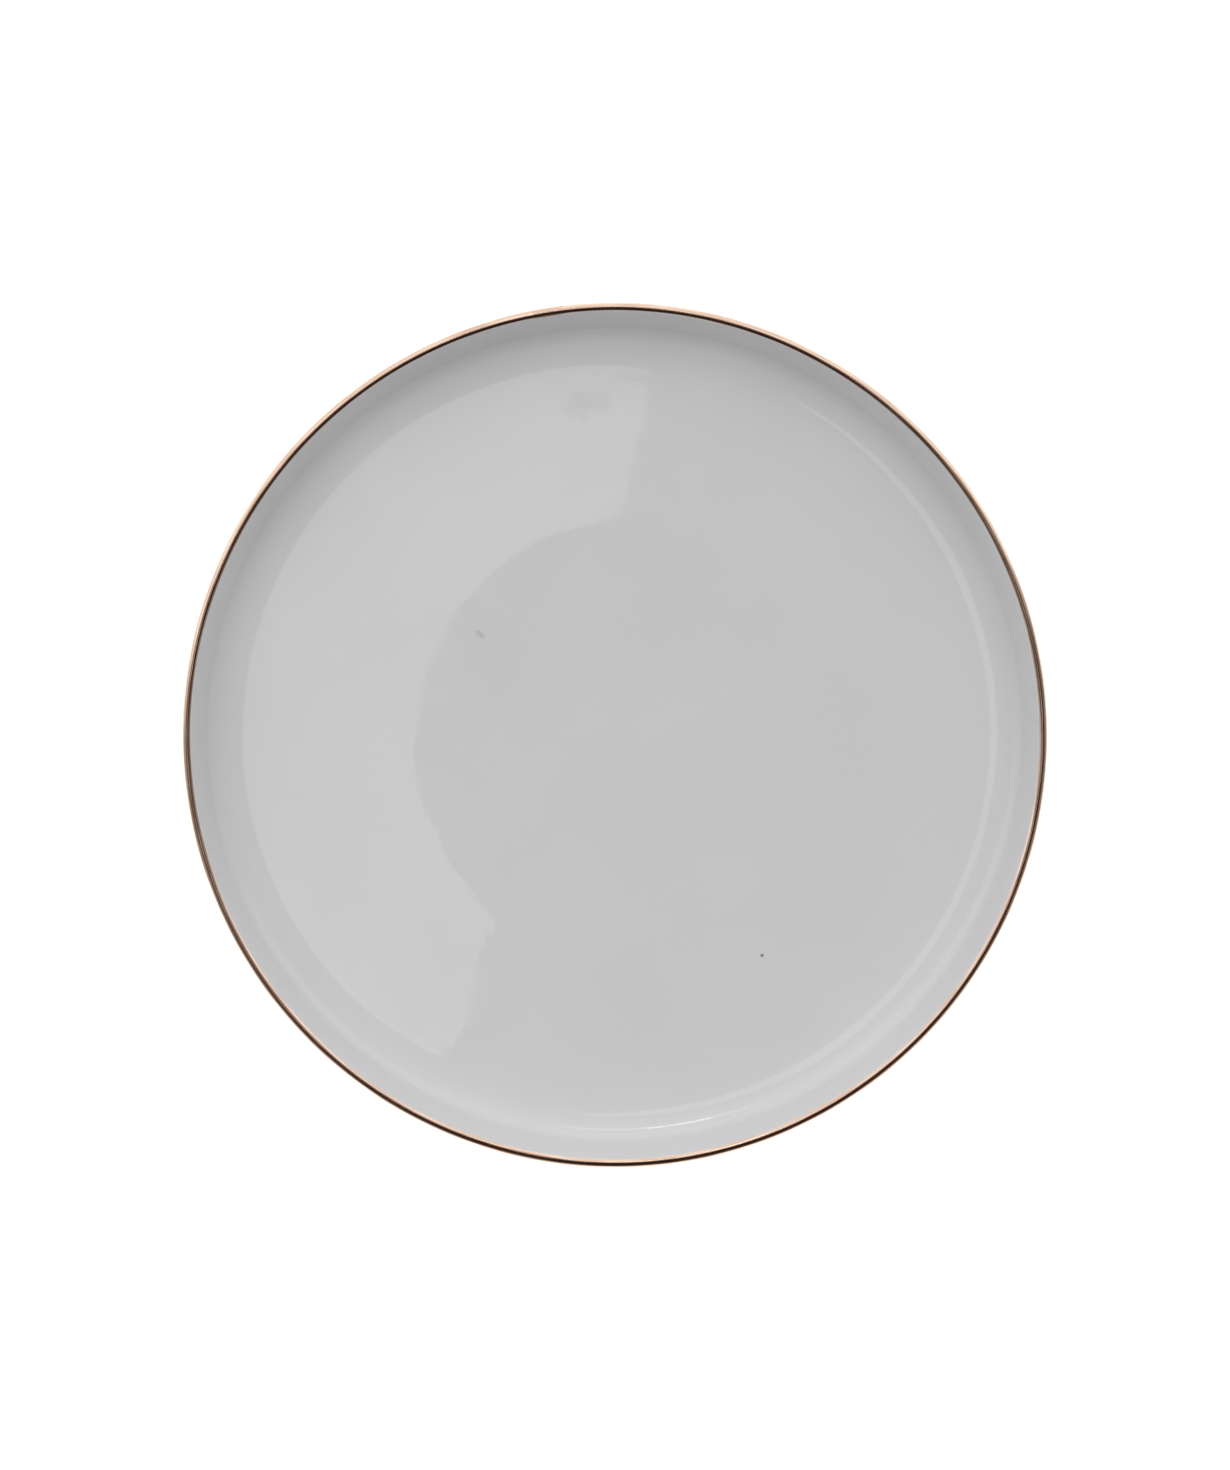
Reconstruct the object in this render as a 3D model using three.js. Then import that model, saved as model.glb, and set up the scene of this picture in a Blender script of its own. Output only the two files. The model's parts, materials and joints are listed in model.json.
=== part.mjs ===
// A china dinner plate: a flat porcelain plate with a low upright wall and a turned foot ring,
// glazed everywhere but under the foot, with a gold band fired on its lip.
// Millimetres, +Z up. The origin is the centre of the foot ring's bearing face, on the table.
//
// Every piece is turned about one axis from the same section. The section is a chain of
// straight sides joined by arcs, and each coat is that chain pushed outwards by its thickness.

import * as THREE from "three";

// Driving dimensions
const PLATE_DIAMETER = 270; // across the gold band
const PLATE_HEIGHT = 22; // from the table to the top of the gold band
const BASE_THICKNESS = 4; // porcelain under the well
const LIP_THICKNESS = 2.4; // porcelain only, fully rounded at the top
const GLAZE_THICKNESS = 0.3;
const GOLD_THICKNESS = 0.1;
const COAT_GAP = 0.01; // keeps each coat's solid clear of the one under it

const WELL_EDGE_SLOPE = 13; // degrees, where the well's edge turns gently up
const WELL_EDGE_DIAMETER = 240.5;
const WELL_EDGE_RADIUS = 40;
const INNER_WALL_SLOPE = 70; // degrees from level
const OUTER_WALL_SLOPE = 72;
const INNER_BEND_RADIUS = 5.5; // between the well's edge and the wall
const OUTER_BEND_RADIUS = 10;
const UNDERSIDE_RISE = 1; // degrees, from the foot ring out to the wall

const SAG_DIAMETER = 134; // the middle of the base, which sinks in the kiln inside the foot ring
const SAG_SLOPE = 1.3; // degrees at its edge, which makes it 0.8 deep
const SAG_EDGE_RADIUS = 300; // soft ridge between the sunk middle and the level well

const FOOT_DIAMETER = 142; // middle of the bearing face
const FOOT_HEIGHT = 2.6;
const FOOT_WIDTH = 3.4; // at the table, before its edges are rounded
const FOOT_DRAFT = 17; // degrees that each side of the foot ring leans
const FOOT_ROOT_RADIUS = 1.2;
const FOOT_EDGE_RADIUS = 0.5;

const BARE_FOOT_HEIGHT = 1.1; // the glaze is wiped off the foot up to here
const GOLD_TURN_INSIDE = 42; // degrees round the lip, from its top to the gold's inner edge
const GOLD_DOWN_OUTSIDE = 1.4; // how far the gold runs down the outside of the wall

const SEGMENTS = 72; // facets round the plate

const WELL_HEIGHT = FOOT_HEIGHT + BASE_THICKNESS;
const LIP_RADIUS = LIP_THICKNESS / 2;

// ---- The section ----

// The unit vector at an angle in the section, where 0 is straight out and 90 straight up.
function direction(degrees) {
  const angle = THREE.MathUtils.degToRad(degrees);
  return new THREE.Vector2(Math.cos(angle), Math.sin(angle));
}

// A straight side of the section: a point on it, and the angle that its surface faces.
function side(radius, height, facing) {
  return { point: new THREE.Vector2(radius, height), facing };
}

// The arc that joins two sides. Its radius is positive round an outside corner and negative
// in a hollow, so that a coat of any thickness is the same arc with the thickness added.
function corner(before, after, radius, steps) {
  const a = direction(before.facing);
  const b = direction(after.facing);
  const alongA = a.dot(before.point) - radius;
  const alongB = b.dot(after.point) - radius;
  const determinant = a.x * b.y - a.y * b.x;
  const centre = new THREE.Vector2(
    (alongA * b.y - alongB * a.y) / determinant,
    (a.x * alongB - b.x * alongA) / determinant,
  );
  return { centre, radius, from: before.facing, to: after.facing, steps };
}

// The points of an arc, pushed out by the thickness of the coats on it.
function arcPoints(arc, coat) {
  return Array.from({ length: arc.steps + 1 }, (_, i) => {
    const facing = THREE.MathUtils.lerp(arc.from, arc.to, i / arc.steps);
    return direction(facing).multiplyScalar(arc.radius + coat).add(arc.centre);
  });
}

// The shallow arc from the axis, where it is level, to the start of the arc beyond it.
function sagArc(next, facingAtAxis, steps) {
  const [edge] = arcPoints(next, 0);
  const radius = edge.x / direction(next.from).x;
  const centre = new THREE.Vector2(0, edge.y - direction(next.from).y * radius);
  return { centre, radius, from: facingAtAxis, to: next.from, steps };
}

// The point that is a distance along a side from the end of the arc beside it.
function beyond(arc, facing, distance, coat) {
  const along = direction(facing - 90).multiplyScalar(distance);
  return direction(facing).multiplyScalar(arc.radius + coat).add(arc.centre).add(along);
}

// The point at a height on a side, pushed out by the coats on it.
function atHeight(straight, height, coat) {
  const outward = direction(straight.facing);
  const radius = straight.point.x - ((height - straight.point.y) * outward.y) / outward.x;
  return outward.multiplyScalar(coat).add(new THREE.Vector2(radius, height));
}

// The sides of the porcelain, in order from the well over the lip to the recess in the foot.
const lipCentre = new THREE.Vector2(
  PLATE_DIAMETER / 2 - GOLD_THICKNESS - GLAZE_THICKNESS - LIP_RADIUS,
  PLATE_HEIGHT - GOLD_THICKNESS - GLAZE_THICKNESS - LIP_RADIUS,
);
const innerFacing = 90 + INNER_WALL_SLOPE;
const outerFacing = OUTER_WALL_SLOPE - 90;
const innerTangent = direction(innerFacing).multiplyScalar(LIP_RADIUS).add(lipCentre);
const outerTangent = direction(outerFacing).multiplyScalar(LIP_RADIUS).add(lipCentre);
const footOutside = (FOOT_DIAMETER + FOOT_WIDTH) / 2;
const footInside = (FOOT_DIAMETER - FOOT_WIDTH) / 2;

const sagEdge = side(SAG_DIAMETER / 2, WELL_HEIGHT, 90 + SAG_SLOPE);
const well = side(0, WELL_HEIGHT, 90);
const wellEdge = side(WELL_EDGE_DIAMETER / 2, WELL_HEIGHT, 90 + WELL_EDGE_SLOPE);
const innerWall = side(innerTangent.x, innerTangent.y, innerFacing);
const outerWall = side(outerTangent.x, outerTangent.y, outerFacing);
const underside = side(footOutside, FOOT_HEIGHT, UNDERSIDE_RISE - 90);
const footOuterSide = side(footOutside, 0, -FOOT_DRAFT);
const bearingFace = side(0, 0, -90);
const footInnerSide = side(footInside, 0, FOOT_DRAFT - 180);
const recess = side(SAG_DIAMETER / 2, FOOT_HEIGHT, SAG_SLOPE - 90);

// The arcs between them, over the top from the middle of the well to the foot ring.
const sagRidge = corner(sagEdge, well, SAG_EDGE_RADIUS, 1);
const wellSag = sagArc(sagRidge, 90, 2);
const wellTurn = corner(well, wellEdge, -WELL_EDGE_RADIUS, 2);
const innerBend = corner(wellEdge, innerWall, -INNER_BEND_RADIUS, 4);
const lip = corner(innerWall, outerWall, LIP_RADIUS, 6);
const outerBend = corner(outerWall, underside, OUTER_BEND_RADIUS, 5);
const outerFootRoot = corner(underside, footOuterSide, -FOOT_ROOT_RADIUS, 2);
const outerFootEdge = corner(footOuterSide, bearingFace, FOOT_EDGE_RADIUS, 1);
const innerFootEdge = corner(bearingFace, footInnerSide, FOOT_EDGE_RADIUS, 1);

// The lip in two parts, which meet under the gold's inner edge.
const goldEdge = 90 + GOLD_TURN_INSIDE;
const bareLip = { ...lip, to: goldEdge, steps: 1 };
const gildedLip = { ...lip, from: goldEdge };

// And underneath, from the middle of the recess to the foot ring.
const innerFootRoot = corner(recess, footInnerSide, -FOOT_ROOT_RADIUS, 2);
const recessSag = sagArc(innerFootRoot, -90, 2);

// ---- The surfaces that the coats lie on ----

// From the middle of the well, over the lip, to the edge of the glaze on the foot.
function outerSurface(coat) {
  return [
    ...arcPoints(wellSag, coat).slice(0, -1),
    ...[sagRidge, wellTurn, innerBend].flatMap((arc) => arcPoints(arc, coat)),
    ...arcPoints(bareLip, coat).slice(0, -1),
    ...[gildedLip, outerBend, outerFootRoot].flatMap((arc) => arcPoints(arc, coat)),
    atHeight(footOuterSide, BARE_FOOT_HEIGHT, coat),
  ];
}

// From the middle of the recess to the edge of the glaze inside the foot.
function recessSurface(coat) {
  return [
    ...arcPoints(recessSag, coat).slice(0, -1),
    ...arcPoints(innerFootRoot, coat),
    atHeight(footInnerSide, BARE_FOOT_HEIGHT, coat),
  ];
}

// Over the lip, from the gold's edge on its inside to its edge down the outside of the wall.
function goldSurface(coat) {
  return [...arcPoints(gildedLip, coat), beyond(lip, outerFacing, GOLD_DOWN_OUTSIDE, coat)];
}

// ---- The pieces ----

// One piece turned about the plate's axis, from its section's points.
function turned(name, profile, material) {
  const onAxis = profile.map(({ x, y }) => new THREE.Vector2(Math.abs(x) < 1e-9 ? 0 : x, y));
  const geometry = new THREE.LatheGeometry(onAxis, SEGMENTS).rotateX(Math.PI / 2);
  const mesh = new THREE.Mesh(geometry, material);
  mesh.name = name;
  return mesh;
}

// The section of whatever lies between two surfaces, out along the lower one and back.
function between(lower, upper) {
  return [...lower, ...upper.reverse()];
}

const porcelain = new THREE.MeshStandardMaterial({ color: 0xe6e3dd, roughness: 0.75, metalness: 0 });
const glaze = new THREE.MeshStandardMaterial({ color: 0xdfdfe0, roughness: 0.1, metalness: 0 });
const gold = new THREE.MeshStandardMaterial({ color: 0xc98f5f, roughness: 0.15, metalness: 1 });

// The clay piece, turned and fired as one: well, wall, lip and foot ring.
const footEdges = [outerFootEdge, innerFootEdge].flatMap((arc) => arcPoints(arc, 0));
const bodySection = between(recessSurface(0), [...outerSurface(0), ...footEdges]);
const porcelainBody = turned("porcelain_body", bodySection, porcelain);

// The glaze over the well, the lip and the outside, which stops on the foot ring.
const mainSection = between(outerSurface(COAT_GAP), outerSurface(GLAZE_THICKNESS));
const mainGlaze = turned("main_glaze", mainSection, glaze);

// The separate patch of glaze inside the foot ring.
const recessSection = between(recessSurface(GLAZE_THICKNESS), recessSurface(COAT_GAP));
const recessGlaze = turned("foot_recess_glaze", recessSection, glaze);

// The gold painted round the lip on top of the glaze, whose section closes on itself.
const goldSection = between(
  goldSurface(GLAZE_THICKNESS + COAT_GAP),
  goldSurface(GLAZE_THICKNESS + GOLD_THICKNESS),
);
const goldBand = turned("gold_lip_band", [...goldSection, goldSection[0]], gold);

const dinnerPlate = new THREE.Group();
dinnerPlate.add(porcelainBody, mainGlaze, recessGlaze, goldBand);

export default dinnerPlate;
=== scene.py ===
# A china dinner plate: white porcelain turned on a mould, clear glazed, with a rose-gold band
# fired on the lip. Lengths are in metres unless a name or a comment says otherwise.

import json
import math

import bpy
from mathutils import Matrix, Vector


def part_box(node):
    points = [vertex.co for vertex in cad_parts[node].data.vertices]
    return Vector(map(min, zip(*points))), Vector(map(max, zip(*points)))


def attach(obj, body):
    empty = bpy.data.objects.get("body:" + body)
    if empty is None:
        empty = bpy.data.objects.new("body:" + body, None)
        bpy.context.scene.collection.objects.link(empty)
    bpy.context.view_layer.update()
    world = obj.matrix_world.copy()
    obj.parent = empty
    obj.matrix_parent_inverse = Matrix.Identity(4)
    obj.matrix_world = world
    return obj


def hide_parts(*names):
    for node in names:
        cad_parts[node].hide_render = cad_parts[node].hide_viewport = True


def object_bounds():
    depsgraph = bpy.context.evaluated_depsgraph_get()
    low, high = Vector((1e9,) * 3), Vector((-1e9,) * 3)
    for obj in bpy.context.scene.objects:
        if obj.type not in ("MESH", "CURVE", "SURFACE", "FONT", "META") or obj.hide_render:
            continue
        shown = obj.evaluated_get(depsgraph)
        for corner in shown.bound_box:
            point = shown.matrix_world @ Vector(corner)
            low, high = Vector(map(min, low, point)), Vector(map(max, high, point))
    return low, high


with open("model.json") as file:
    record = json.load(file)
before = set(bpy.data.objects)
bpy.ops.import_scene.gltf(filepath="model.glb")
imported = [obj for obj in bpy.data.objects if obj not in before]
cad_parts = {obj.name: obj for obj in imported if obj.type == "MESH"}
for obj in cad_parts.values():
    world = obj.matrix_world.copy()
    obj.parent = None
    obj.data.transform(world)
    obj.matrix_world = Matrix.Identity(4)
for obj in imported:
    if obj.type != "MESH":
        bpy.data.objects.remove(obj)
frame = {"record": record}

cad_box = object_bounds()

# ---- Porcelain body ----
# The clay piece: flat well, low wall, rounded lip and foot ring, pressed on a turning mould as
# one and fired hard. It is glazed all over but for the foot ring that it stood on in the kiln,
# so bare porcelain, matt and slightly gritty, shows only there.

MM = 0.001
gold_radius = cad_box[1].x
mounts = {mount["name"]: mount["pos_m"] for mount in frame["record"]["mounts"]}
body_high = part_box("porcelain_body")[1]
glaze_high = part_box("main_glaze")[1]
glaze_thickness = glaze_high.z - body_high.z
well_height = mounts["well"][2] - glaze_thickness

ROUND_STEPS = 300  # facets round the plate
RING_GAP = 2.2 * MM  # between the rings of mesh on a flat stretch

well_edge_slope = 13  # degrees from level, as are the other slopes
well_edge_radius = 120.25 * MM  # where the well turns gently up towards the wall
well_edge_round = 40 * MM
wall_slope_inside = 70
wall_slope_outside = 72
wall_bend_inside = 5.5 * MM
wall_bend_outside = 10 * MM
lip_round = 1.2 * MM
underside_rise = 1

sag_slope = 1.3  # the middle sinks in the kiln, where the foot ring doesn't hold it up
sag_radius = 67 * MM
sag_edge_round = 300 * MM

foot_radius = mounts["foot_ring"][0]
foot_height = 2.6 * MM
foot_width = 3.4 * MM
foot_side_slope = 73
foot_root_round = 1.2 * MM
foot_edge_round = 0.5 * MM


def meet(a, slope_a, b, slope_b):
    """Where two sides of the section meet: each is a point (radius, height) and a slope."""
    rise_a = math.tan(math.radians(slope_a))
    rise_b = math.tan(math.radians(slope_b))
    radius = (b[1] - a[1] + rise_a * a[0] - rise_b * b[0]) / (rise_a - rise_b)
    return radius, a[1] + rise_a * (radius - a[0])


def trace(name, corners):
    """A wire in the XZ plane through a section's corners, each (radius, height, rounding, rings).
    One vertex is extruded along the straight sides, and spun round each rounded corner."""
    bpy.ops.object.select_all(action="DESELECT")
    points = [Vector((radius, 0, height)) for radius, height, *_ in corners]
    bpy.ops.mesh.primitive_plane_add(size=MM, location=points[0])
    piece = bpy.context.object
    piece.name = piece.data.name = name
    bpy.ops.object.transform_apply()
    bpy.ops.object.mode_set(mode="EDIT")
    bpy.ops.mesh.merge(type="CENTER")
    pen = points[0]
    for i, corner in enumerate(corners[1:-1], start=1):
        _, _, rounding, rings = corner
        along = (points[i] - points[i - 1]).normalized()
        onward = (points[i + 1] - points[i]).normalized()
        turn = math.atan2(along.cross(onward).y, along.dot(onward))
        start = points[i] - along * rounding * math.tan(abs(turn) / 2)
        pen = extrude_to(pen, start)
        side = Vector((0, math.copysign(1, turn), 0)).cross(along)
        centre = start + side * rounding
        bpy.ops.mesh.spin(steps=rings, angle=-turn, center=centre, axis=(0, 1, 0))
        pen = points[i] + onward * rounding * math.tan(abs(turn) / 2)
    extrude_to(pen, points[-1])
    return piece


def extrude_to(pen, end):
    """Extrudes the selected vertex to a point in even steps, unless it is already there."""
    if (end - pen).length > 0.01 * MM:
        steps = math.ceil((end - pen).length / RING_GAP)
        for _ in range(steps):
            move = {"value": (end - pen) / steps}
            bpy.ops.mesh.extrude_region_move(TRANSFORM_OT_translate=move)
    return end


def turn_round(face_down=False):
    """Spins the section being edited into a whole plate, and closes the seam and the poles."""
    bpy.ops.mesh.select_all(action="SELECT")
    bpy.ops.mesh.spin(steps=ROUND_STEPS, angle=math.tau, center=(0, 0, 0), axis=(0, 0, 1))
    bpy.ops.mesh.select_all(action="SELECT")
    bpy.ops.mesh.remove_doubles(threshold=0.02 * MM)
    bpy.ops.mesh.normals_make_consistent(inside=face_down)
    bpy.ops.object.mode_set(mode="OBJECT")
    bpy.ops.object.shade_smooth()


lip_middle = body_high.x - lip_round
lip_inner_corner = (lip_middle - lip_round * math.tan(math.radians(wall_slope_inside / 2)), body_high.z)
lip_outer_corner = (lip_middle + lip_round * math.tan(math.radians(90 - wall_slope_outside / 2)), body_high.z)
well_edge = (well_edge_radius, well_height)
wall_foot = meet(well_edge, well_edge_slope, lip_inner_corner, wall_slope_inside)
foot_outside = (foot_radius + foot_width / 2, 0)
foot_inside = (foot_radius - foot_width / 2, 0)
outer_root = (foot_outside[0] + foot_height / math.tan(math.radians(foot_side_slope)), foot_height)
belly = meet(outer_root, underside_rise, lip_outer_corner, wall_slope_outside)
recess_edge = (sag_radius, foot_height)
inner_root = meet(recess_edge, sag_slope, foot_inside, -foot_side_slope)

sag_half = (sag_radius - sag_edge_round * math.tan(math.radians(sag_slope / 2))) / 2
sag_round = sag_half / math.tan(math.radians(sag_slope / 2))
sag_depth = (sag_radius - sag_half) * math.tan(math.radians(sag_slope))

over_the_top = [
    (0, well_height - sag_depth, 0, 0),
    (sag_half, well_height - sag_depth, sag_round, 28),
    (sag_radius, well_height, sag_edge_round, 5),
    (*well_edge, well_edge_round, 8),
    (*wall_foot, wall_bend_inside, 16),
    (*lip_inner_corner, lip_round, 8),
    (*lip_outer_corner, lip_round, 14),
    (*belly, wall_bend_outside, 18),
    (*outer_root, foot_root_round, 6),
]
foot_edges = [
    (*foot_outside, foot_edge_round, 5),
    (*foot_inside, foot_edge_round, 5),
]
underneath = [
    (*inner_root, foot_root_round, 6),
    (sag_half, foot_height - sag_depth, sag_round, 28),
    (0, foot_height - sag_depth, 0, 0),
]

body = trace("porcelain_plate", over_the_top + foot_edges + underneath)
turn_round()


def node(tree, kind, inputs=None, **settings):
    """A shader node with its settings and inputs, each a value or a socket to link."""
    made = tree.nodes.new("ShaderNode" + kind)
    for setting, value in settings.items():
        setattr(made, setting, value)
    for name, value in (inputs or {}).items():
        if isinstance(value, bpy.types.NodeSocket):
            tree.links.new(value, made.inputs[name])
        else:
            made.inputs[name].default_value = value
    return made


def calculate(tree, operation, *values):
    inputs = dict(enumerate(values))
    return node(tree, "Math", inputs, operation=operation).outputs[0]


def blend(tree, factor, a, b):
    """A mix of two colours, given as sockets or as red, green and blue."""
    colours = [c if isinstance(c, bpy.types.NodeSocket) else (*c, 1) for c in (a, b)]
    inputs = {0: factor, 6: colours[0], 7: colours[1]}
    return node(tree, "Mix", inputs, data_type="RGBA").outputs[2]


def spread(tree, value, low, high, to_low=0.0, to_high=1.0):
    """The value eased from one range to another, and held at its ends."""
    inputs = {0: value, 1: low, 2: high, 3: to_low, 4: to_high}
    return node(tree, "MapRange", inputs, interpolation_type="SMOOTHSTEP").outputs[0]


def new_group(name, inputs, outputs):
    """A shader node group with its sockets, and its inner tree, input and output nodes."""
    tree = bpy.data.node_groups.new(name, "ShaderNodeTree")
    kinds = {"v": "NodeSocketVector", "f": "NodeSocketFloat"}
    for socket, kind in inputs.items():
        tree.interface.new_socket(socket, in_out="INPUT", socket_type=kinds[kind])
    for socket, kind in outputs.items():
        tree.interface.new_socket(socket, in_out="OUTPUT", socket_type=kinds[kind])
    return tree, tree.nodes.new("NodeGroupInput").outputs, tree.nodes.new("NodeGroupOutput").inputs


def group_node(tree, group, **inputs):
    made = tree.nodes.new("ShaderNodeGroup")
    made.node_tree = group
    for name, value in inputs.items():
        socket = made.inputs[name.replace("_", " ")]
        if isinstance(value, bpy.types.NodeSocket):
            tree.links.new(value, socket)
        else:
            socket.default_value = value
    return made.outputs


def new_material(name, piece):
    """A material on a piece, with its tree, its Principled shader and the piece's coordinates."""
    material = bpy.data.materials.new(name)
    material.use_nodes = True
    tree = material.node_tree
    piece.data.materials.clear()
    piece.data.materials.append(material)
    return tree, tree.nodes["Principled BSDF"].inputs, node(tree, "TexCoord").outputs["Object"]


# Soft cloudy change, as of glaze that lies thicker here and there, or clay that fires unevenly.
mottle, given, result = new_group("mottle", {"Place": "v", "Size": "f"}, {"Amount": "f"})
scale = calculate(mottle, "DIVIDE", 1.0, given["Size"])
cloud = node(mottle, "TexNoise", {"Vector": given["Place"], "Scale": scale, "Detail": 3.0})
mottle.links.new(spread(mottle, cloud.outputs[0], 0.3, 0.7), result["Amount"])

# Small round grains, pits or specks, of which only some of a loose grid's places have one.
specks, given, result = new_group(
    "specks", {"Place": "v", "Spacing": "f", "Share": "f", "Width": "f"}, {"Mask": "f"}
)
scale = calculate(specks, "DIVIDE", 1.0, given["Spacing"])
cell = node(specks, "TexVoronoi", {"Vector": given["Place"], "Scale": scale, "Randomness": 1.0})
chance = node(specks, "SeparateColor", {0: cell.outputs["Color"]})
chosen = calculate(specks, "LESS_THAN", chance.outputs[0], given["Share"])
width = calculate(specks, "DIVIDE", given["Width"], given["Spacing"])
size = calculate(specks, "MULTIPLY", width, calculate(specks, "ADD", chance.outputs[1], 0.4))
near = calculate(specks, "SUBTRACT", 1.0, calculate(specks, "DIVIDE", cell.outputs["Distance"], size))
mask = calculate(specks, "MULTIPLY", chosen, spread(specks, near, 0.0, 0.6))
specks.links.new(mask, result["Mask"])

# Places on a turned piece: how far round it, how far from its axis and how high, in metres.
turned_place, given, result = new_group("turned place", {"Place": "v"}, {"Place": "v", "Radius": "f"})
xyz = node(turned_place, "SeparateXYZ", {0: given["Place"]}).outputs
level = node(turned_place, "CombineXYZ", {0: xyz[0], 1: xyz[1]})
from_axis = node(turned_place, "VectorMath", {0: level.outputs[0]}, operation="LENGTH").outputs["Value"]
angle = calculate(turned_place, "ARCTAN2", xyz[1], xyz[0])
around = calculate(turned_place, "MULTIPLY", angle, gold_radius)
turned = node(turned_place, "CombineXYZ", {0: around, 1: from_axis, 2: xyz[2]})
turned_place.links.new(turned.outputs[0], result["Place"])
turned_place.links.new(from_axis, result["Radius"])

# The faint ridges that the turning tool leaves round a piece.
turning_rings, given, result = new_group("turning rings", {"Place": "v", "Gap": "f"}, {"Height": "f"})
ring_radius = group_node(turning_rings, turned_place, Place=given["Place"])["Radius"]
ring_scale = calculate(turning_rings, "DIVIDE", 1.0, given["Gap"])
ring_inputs = {"W": ring_radius, "Scale": ring_scale, "Detail": 1.0}
ridges = node(turning_rings, "TexNoise", ring_inputs, noise_dimensions="1D")
turning_rings.links.new(ridges.outputs[0], result["Height"])

bare_white = (0.80, 0.76, 0.70)
bare_shade = (0.70, 0.66, 0.60)
grit_brown = (0.30, 0.22, 0.16)
rubbed_grey = (0.46, 0.45, 0.44)

tree, shader, place = new_material("bare porcelain", body)
clouds = group_node(tree, mottle, Place=place, Size=9 * MM)["Amount"]
grit = group_node(tree, specks, Place=place, Spacing=1.4 * MM, Share=0.16, Width=0.3 * MM)["Mask"]
height = node(tree, "SeparateXYZ", {0: place}).outputs[2]
low_down = spread(tree, height, 0.02 * MM, 0.25 * MM, 1.0, 0.0)
scuffs = node(tree, "TexNoise", {"Vector": place, "Scale": 0.6 / MM, "Detail": 6.0}).outputs[0]
rubbed = calculate(tree, "MULTIPLY", low_down, spread(tree, scuffs, 0.42, 0.62, 0.1, 0.75))
clay = blend(tree, clouds, bare_white, bare_shade)
clay = blend(tree, grit, clay, grit_brown)
tree.links.new(blend(tree, rubbed, clay, rubbed_grey), shader["Base Color"])
tree.links.new(spread(tree, rubbed, 0.0, 0.8, 0.86, 0.6), shader["Roughness"])
grain = node(tree, "TexNoise", {"Vector": place, "Scale": 4 / MM, "Detail": 2.0}).outputs[0]
rings = group_node(tree, turning_rings, Place=place, Gap=0.8 * MM)["Height"]
relief = calculate(tree, "ADD", grain, calculate(tree, "MULTIPLY", rings, 0.8))
bump = node(tree, "Bump", {"Strength": 1.0, "Distance": 0.03 * MM, "Height": relief})
tree.links.new(bump.outputs[0], shader["Normal"])

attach(body, "root")
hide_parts("porcelain_body")

# ---- Clear glaze over the well, the wall and the outside ----
# A coat of clear glass, melted onto the body in the kiln after the plate is dipped. It runs from
# the middle of the well over the lip and down to the foot ring, where it was wiped off, and it
# ends there in a soft rounded edge. Its surface keeps the slow waves of the shrinking clay.

glaze_end_height = 1.1 * MM
glaze_edge_round = 0.13 * MM
glaze_end_wander = 0.12 * MM
wave_size = 26 * MM
wave_depth = 0.05 * MM
lap_angle = math.radians(99)
lap_length = 5 * MM


def foot_side(foot, height):
    """The point at a height on the side of the foot ring that starts at a toe of the section."""
    lean = height / math.tan(math.radians(foot_side_slope))
    return foot[0] + math.copysign(lean, foot[0] - foot_radius), height


def let_edge_wander(piece, at, slope, amount, lap=0.0):
    """Moves a ring of vertices up and down a sloping side, as a hand leaves the edge of a coat.
    At the lap, where the brush or sponge set down, the edge runs further down."""
    for vertex in piece.data.vertices:
        level = Vector((vertex.co.x, vertex.co.y, 0))
        if abs(level.length - at[0]) > 0.02 * MM or abs(vertex.co.z - at[1]) > 0.02 * MM:
            continue
        turn = math.atan2(level.y, level.x)
        wave = sum(math.sin(n * turn + n * n) / k for k, n in enumerate((3, 7, 13, 29, 47), start=2))
        from_lap = math.remainder(turn - lap_angle, math.tau) * at[0]
        move = amount * wave - lap * math.exp(-((from_lap / lap_length) ** 4))
        rise = math.radians(slope)
        vertex.co += level.normalized() * move * math.cos(rise)
        vertex.co.z += move * math.sin(rise)


def add_waves(piece, name, size, depth):
    """Pushes the surface in and out by slow waves of some size."""
    texture = bpy.data.textures.new(name, type="CLOUDS")
    texture.noise_scale = size
    texture.noise_depth = 1
    waves = piece.modifiers.new(name, "DISPLACE")
    waves.texture = texture
    waves.strength = depth
    waves.mid_level = 0.5
    bpy.ops.object.modifier_apply(modifier=name)


def thicken(piece, thickness, edge_round):
    """Gives a coat its thickness, outwards, and rounds the edges that it ends in."""
    coat = piece.modifiers.new("coat", "SOLIDIFY")
    coat.thickness = thickness
    coat.offset = 1
    bpy.ops.object.modifier_apply(modifier="coat")
    rim = piece.modifiers.new("rim", "BEVEL")
    rim.width = edge_round
    rim.segments = 4
    rim.limit_method = "ANGLE"
    rim.angle_limit = math.radians(60)
    bpy.ops.object.modifier_apply(modifier="rim")


glaze_end = foot_side(foot_outside, glaze_end_height)
glaze = trace("clear_glaze", [*over_the_top, (*glaze_end, 0, 0)])
turn_round()
let_edge_wander(glaze, glaze_end, foot_side_slope, glaze_end_wander)
add_waves(glaze, "clay waves", wave_size, wave_depth)
thicken(glaze, glaze_thickness, glaze_edge_round)

# A soft-edged spot with a ragged outline, for a mark at one place.
spot, given, result = new_group(
    "spot", {"Place": "v", "Centre": "v", "Width": "f", "Ragged": "f"}, {"Mask": "f"}
)
ragged = node(spot, "TexNoise", {"Vector": given["Place"], "Scale": 0.5 / MM, "Detail": 3.0})
offset = calculate(spot, "SUBTRACT", ragged.outputs[0], 0.5)
away = node(spot, "VectorMath", {0: given["Place"], 1: given["Centre"]}, operation="DISTANCE")
share = calculate(spot, "DIVIDE", away.outputs["Value"], given["Width"])
share = calculate(spot, "ADD", share, calculate(spot, "MULTIPLY", offset, given["Ragged"]))
spot.links.new(spread(spot, share, 0.2, 0.55, 1.0, 0.0), result["Mask"])

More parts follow.
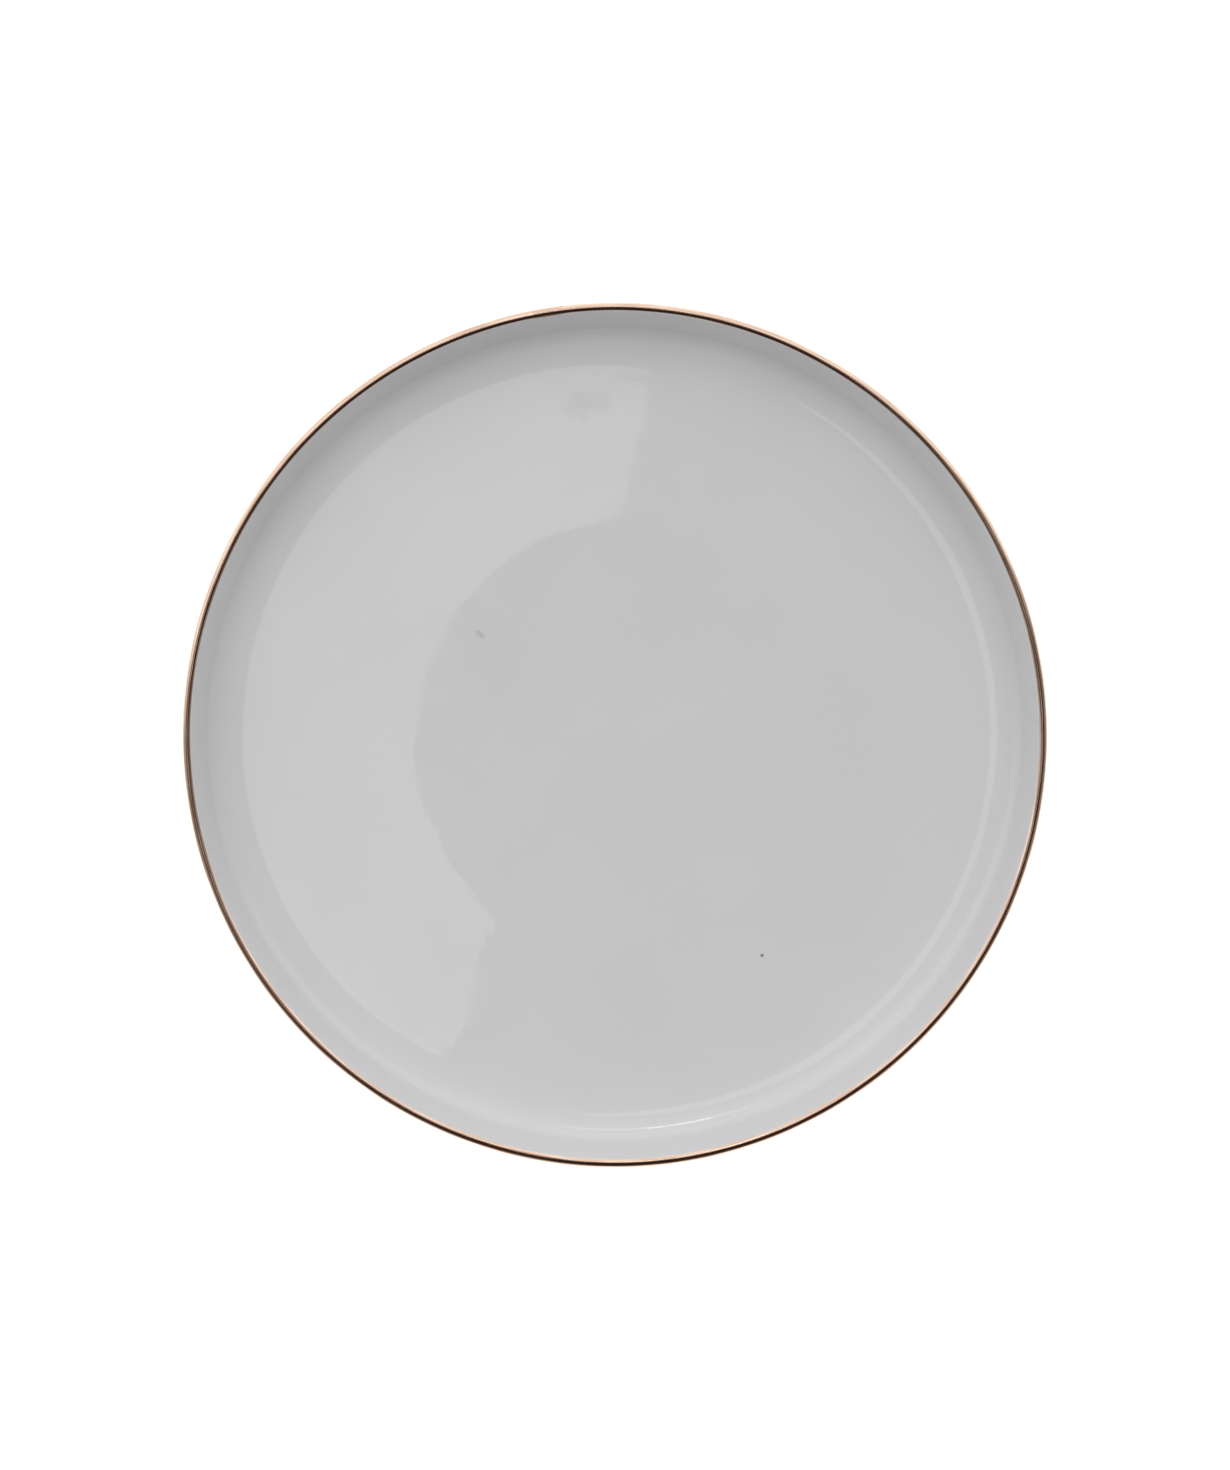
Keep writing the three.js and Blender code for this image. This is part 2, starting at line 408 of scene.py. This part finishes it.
glaze_white = (0.795, 0.79, 0.795)
glaze_shade = (0.775, 0.772, 0.78)
glaze_pooled = (0.66, 0.70, 0.71)
speck_brown = (0.16, 0.13, 0.11)
mark_grey = (0.36, 0.34, 0.33)
smudge_grey = (0.68, 0.68, 0.69)
kiln_marks = [  # place and width in mm, how strong, how ragged, and its colour
    ((-43.1, 32.1), 2.6, 0.3, 0.9, mark_grey),
    ((-41.6, 31.2), 1.5, 0.2, 0.9, mark_grey),
    ((46.4, -69.6), 1.7, 0.9, 0.7, speck_brown),
    ((-11.5, 104.5), 11, 0.5, 0.7, smudge_grey),
    ((-5, 105), 9, 0.4, 0.7, smudge_grey),
]


def glaze_material(piece):
    """Clear glossy glass over white porcelain, a little uneven, with a few specks from the kiln."""
    tree, shader, place = new_material(piece.name.replace("_", " "), piece)
    clouds = group_node(tree, mottle, Place=place, Size=45 * MM)["Amount"]
    colour = blend(tree, clouds, glaze_white, glaze_shade)
    height = node(tree, "SeparateXYZ", {0: place}).outputs[2]
    radius = group_node(tree, turned_place, Place=place)["Radius"]
    from_foot = calculate(tree, "ABSOLUTE", calculate(tree, "SUBTRACT", radius, foot_radius))
    beside_foot = spread(tree, from_foot, foot_width / 2, foot_width / 2 + 3 * MM, 1.0, 0.0)
    below_base = spread(tree, height, foot_height, foot_height + MM, 1.0, 0.0)
    pooled = calculate(tree, "MULTIPLY", beside_foot, below_base)
    colour = blend(tree, pooled, colour, glaze_pooled)
    iron = group_node(tree, specks, Place=place, Spacing=22 * MM, Share=0.16, Width=0.35 * MM)["Mask"]
    colour = blend(tree, calculate(tree, "MULTIPLY", iron, 0.5), colour, speck_brown)
    for (x, y), width, strength, ragged, mark_colour in kiln_marks:
        shape = {"Centre": (x * MM, y * MM, well_height), "Width": width * MM, "Ragged": ragged}
        mark = group_node(tree, spot, Place=place, **shape)["Mask"]
        colour = blend(tree, calculate(tree, "MULTIPLY", mark, strength), colour, mark_colour)
    tree.links.new(colour, shader["Base Color"])

    haze = group_node(tree, mottle, Place=place, Size=14 * MM)["Amount"]
    tree.links.new(spread(tree, haze, 0.0, 1.0, 0.012, 0.04), shader["Roughness"])
    shader["IOR"].default_value = 1.52

    skin = node(tree, "TexNoise", {"Vector": place, "Scale": 0.2 / MM, "Detail": 1.0}).outputs[0]
    rings = group_node(tree, turning_rings, Place=place, Gap=7 * MM)["Height"]
    pits = group_node(tree, specks, Place=place, Spacing=9 * MM, Share=0.2, Width=0.3 * MM)["Mask"]
    relief = calculate(tree, "ADD", skin, calculate(tree, "MULTIPLY", rings, 1.5))
    relief = calculate(tree, "SUBTRACT", relief, calculate(tree, "MULTIPLY", pits, 4.0))
    bump = node(tree, "Bump", {"Strength": 1.0, "Distance": 0.004 * MM, "Height": relief})
    tree.links.new(bump.outputs[0], shader["Normal"])


glaze_material(glaze)
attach(glaze, "root")
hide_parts("main_glaze")

# ---- Clear glaze inside the foot ring ----
# The same clear glass, in a patch of its own over the recess that the foot ring stands round. It
# melts on in the same firing, and the bare foot ring parts it from the glaze outside.

recess_end = foot_side(foot_inside, glaze_end_height)
recess_glaze = trace("clear_glaze_in_foot", [*reversed(underneath), (*recess_end, 0, 0)])
turn_round(face_down=True)
let_edge_wander(recess_glaze, recess_end, -foot_side_slope, -glaze_end_wander)
add_waves(recess_glaze, "recess waves", wave_size, wave_depth)
thicken(recess_glaze, glaze_thickness, glaze_edge_round)
glaze_material(recess_glaze)
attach(recess_glaze, "root")
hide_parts("foot_recess_glaze")

# ---- Gold band ----
# Rose gold, painted over the lip with a brush while the plate turns on a banding wheel, and
# fired on the glaze. The brush leaves an edge that wanders a little, and a lap where it came
# round to its start.

gold_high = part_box("gold_lip_band")[1]
gold_thickness = gold_high.z - glaze_high.z
gold_turn_inside = 42  # degrees round the lip, from its top to the gold's inner edge
gold_down_outside = 1.4 * MM
gold_wander = 0.09 * MM
gold_lap_run = 0.3 * MM
lap_edge = 0.4 * MM
stroke_stretch = (0.03, 1, 1)  # brush strokes run round the lip
gilded_round = lip_round + glaze_thickness
gilded_top = body_high.z + glaze_thickness

bend_inside = gilded_round * math.tan(math.radians(gold_turn_inside / 2))
bend_outside = gilded_round * math.tan(math.radians(90 - wall_slope_outside / 2))
gold_inner_corner = (lip_middle - bend_inside, gilded_top)
gold_outer_corner = (lip_middle + bend_outside, gilded_top)


def down_the_wall(corner, slope, distance):
    """The point of the section some way down the wall from a corner of the lip."""
    angle = math.radians(slope)
    return corner[0] - distance * math.cos(angle), corner[1] - distance * math.sin(angle)


gold_inner_end = down_the_wall(gold_inner_corner, gold_turn_inside, bend_inside)
gold_outer_end = down_the_wall(gold_outer_corner, wall_slope_outside, bend_outside + gold_down_outside)

gold = trace(
    "gold_band",
    [
        (*gold_inner_end, 0, 0),
        (*gold_inner_corner, gilded_round, 6),
        (*gold_outer_corner, gilded_round, 16),
        (*gold_outer_end, 0, 0),
    ],
)
turn_round()
let_edge_wander(gold, gold_inner_end, gold_turn_inside, gold_wander, gold_lap_run)
let_edge_wander(gold, gold_outer_end, wall_slope_outside, gold_wander, gold_lap_run)
thicken(gold, gold_thickness, gold_thickness / 3)

rose_gold = (0.79, 0.61, 0.49)
deep_gold = (0.61, 0.42, 0.32)
thin_gold = (0.40, 0.23, 0.16)

tree, shader, place = new_material("rose gold", gold)
to_lap = node(tree, "Mapping", {0: place, 2: (0, 0, math.pi - lap_angle)}, vector_type="POINT")
turned = group_node(tree, turned_place, Place=to_lap.outputs[0])
stretched = node(tree, "VectorMath", {0: turned["Place"], 1: stroke_stretch}, operation="MULTIPLY").outputs[0]
strokes = node(tree, "TexNoise", {"Vector": stretched, "Scale": 2.2 / MM, "Detail": 3.0}).outputs[0]
patches = group_node(tree, mottle, Place=place, Size=16 * MM)["Amount"]
colour = blend(tree, spread(tree, strokes, 0.35, 0.65), rose_gold, deep_gold)
around = node(tree, "SeparateXYZ", {0: turned["Place"]}).outputs[0]
lap_start = gold_radius * math.pi - lap_length
lap = spread(tree, calculate(tree, "ABSOLUTE", around), lap_start, lap_start + lap_edge)
colour = blend(tree, calculate(tree, "MULTIPLY", lap, 0.6), colour, deep_gold)
worn = group_node(tree, specks, Place=place, Spacing=3 * MM, Share=0.1, Width=0.25 * MM)["Mask"]
colour = blend(tree, calculate(tree, "MULTIPLY", worn, 0.7), colour, thin_gold)
tree.links.new(colour, shader["Base Color"])
shader["Metallic"].default_value = 1.0
brushed = calculate(tree, "MULTIPLY", strokes, 0.5)
shine = calculate(tree, "ADD", brushed, calculate(tree, "MULTIPLY", patches, 0.3))
tree.links.new(spread(tree, shine, 0.1, 0.6, 0.07, 0.15), shader["Roughness"])
bump = node(tree, "Bump", {"Strength": 1.0, "Distance": 0.006 * MM, "Height": strokes})
tree.links.new(bump.outputs[0], shader["Normal"])

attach(gold, "root")
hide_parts("gold_lip_band")

# ---- Camera ----
# Straight above the plate, looking down at it. A long lens stands far enough away for the plate
# to take its share of the picture.

plate_share = 0.589  # of the picture's longer side
camera_data = bpy.data.cameras.new("overhead camera")
camera_data.lens = 85
camera_data.sensor_width = 36
camera_data.clip_end = 20
distance = 2 * gold_high.x * camera_data.lens / (camera_data.sensor_width * plate_share)
camera = bpy.data.objects.new("overhead camera", camera_data)
camera.location = (0, 0, gold_high.z - lip_round + distance)
bpy.context.scene.collection.objects.link(camera)
bpy.context.scene.camera = camera

# ---- Floor ----
# A wide sheet of white acrylic, lit from below as well as from above, so that it stays pale
# right up to the plate.

floor_size = 12
bpy.ops.object.select_all(action="DESELECT")
bpy.ops.mesh.primitive_plane_add(size=floor_size)
floor = bpy.context.object
floor.name = floor.data.name = "white_floor"

acrylic_white = (0.82, 0.82, 0.82)
acrylic_shade = (0.80, 0.80, 0.80)

tree, shader, place = new_material("white acrylic", floor)
clouds = group_node(tree, mottle, Place=place, Size=0.3)["Amount"]
tree.links.new(blend(tree, clouds, acrylic_white, acrylic_shade), shader["Base Color"])
shader["Roughness"].default_value = 0.6
shader["Emission Color"].default_value = (1, 1, 1, 1)
shader["Emission Strength"].default_value = 0.85

# ---- Light ----
# Broad soft light from high behind the plate. What the plate mirrors is set apart from it: a
# white wall behind, dimmer ones beside it, and darkness overhead and in front, where the camera
# stands on its arm. Soft boxes give the thin highlights, and a far panel lies in the well.

back_azimuth = 98  # degrees from +X, as are the other lights'
key_elevation = 66
key_glow = 0.76
fill_glow = 0.30
low_glow = 0.56

wall_glow = 0.97
side_glow = 0.6
room_glow = 0.27
arm_elevation = 62  # of the middle of the dark part, on the side away from the wall
arm_glow = 0.12  # of what would be mirrored there otherwise
arm_brown = (1.0, 0.52, 0.38)
backdrop_glow = 1.0


def toward(azimuth, elevation):
    """The unit vector from the plate towards a place in the room."""
    turn = math.radians(azimuth)
    rise = math.radians(elevation)
    level = Vector((math.cos(turn), math.sin(turn), 0))
    return level * math.cos(rise) + Vector((0, 0, math.sin(rise)))


def facing(tree, way, azimuth, elevation):
    """How nearly a direction points at a place in the room, as the cosine between them."""
    inputs = {0: way, 1: toward(azimuth, elevation)}
    return node(tree, "VectorMath", inputs, operation="DOT_PRODUCT").outputs["Value"]


world = bpy.data.worlds.new("studio tent")
world.use_nodes = True
bpy.context.scene.world = world
tree = world.node_tree
way = node(tree, "TexCoord").outputs["Generated"]
upward = node(tree, "SeparateXYZ", {0: way}).outputs[2]
backward = facing(tree, way, back_azimuth, 0)
low_down = spread(tree, upward, 0.0, 0.55, 1.0, 0.0)
behind = calculate(tree, "MULTIPLY", low_down, spread(tree, backward, -0.7, 0.3))

key = spread(tree, facing(tree, way, back_azimuth, key_elevation), 0.3, 0.9, 0.0, key_glow)
fill = spread(tree, upward, 0.85, 0.98, fill_glow, 0.0)
low = calculate(tree, "MULTIPLY", behind, low_glow)
shed = calculate(tree, "ADD", calculate(tree, "ADD", key, fill), low)

wall = spread(tree, backward, 0.0, 0.4, 0.0, wall_glow)
sides = calculate(tree, "MULTIPLY", behind, side_glow)
room = calculate(tree, "ADD", calculate(tree, "MAXIMUM", wall, sides), room_glow)
at_arm = facing(tree, way, back_azimuth + 180, arm_elevation)
mirrored = calculate(tree, "MULTIPLY", room, spread(tree, at_arm, 0.66, 0.9, 1.0, arm_glow))

ray = node(tree, "LightPath").outputs
inputs = {"Factor": ray["Is Glossy Ray"], "A": shed, "B": mirrored}
unseen = node(tree, "Mix", inputs, data_type="FLOAT").outputs[0]
inputs = {"Factor": ray["Is Camera Ray"], "A": unseen, "B": backdrop_glow}
background = tree.nodes["Background"].inputs
browned = calculate(tree, "MULTIPLY", spread(tree, at_arm, 0.66, 0.9), ray["Is Glossy Ray"])
tree.links.new(blend(tree, browned, (1, 1, 1), arm_brown), background["Color"])
tree.links.new(node(tree, "Mix", inputs, data_type="FLOAT").outputs[0], background["Strength"])


def soft_box(name, azimuth, elevation, width, height, brightness, away=2):
    """A lit rectangle that faces the plate. Its brightness is that of its surface."""
    light = bpy.data.lights.new(name, "AREA")
    light.shape = "RECTANGLE"
    light.size = width
    light.size_y = height
    light.energy = brightness * math.pi * width * height
    box = bpy.data.objects.new(name, light)
    box.location = away * toward(azimuth, elevation)
    box.rotation_euler = box.location.to_track_quat("Z", "Y").to_euler()
    box.visible_camera = False
    bpy.context.scene.collection.objects.link(box)


soft_box("wide back soft box", 96.5, 74.5, 0.27, 0.077, 2.0)
soft_box("small back soft box", 99.8, 74.5, 0.085, 0.077, 3.6)
soft_box("narrow left soft box", 180, 36, 1.3, 0.12, 0.9)
soft_box("overhead panel", 163, 86, 2.2, 1.0, 1.0, away=10)

bpy.context.scene.view_settings.view_transform = "Standard"
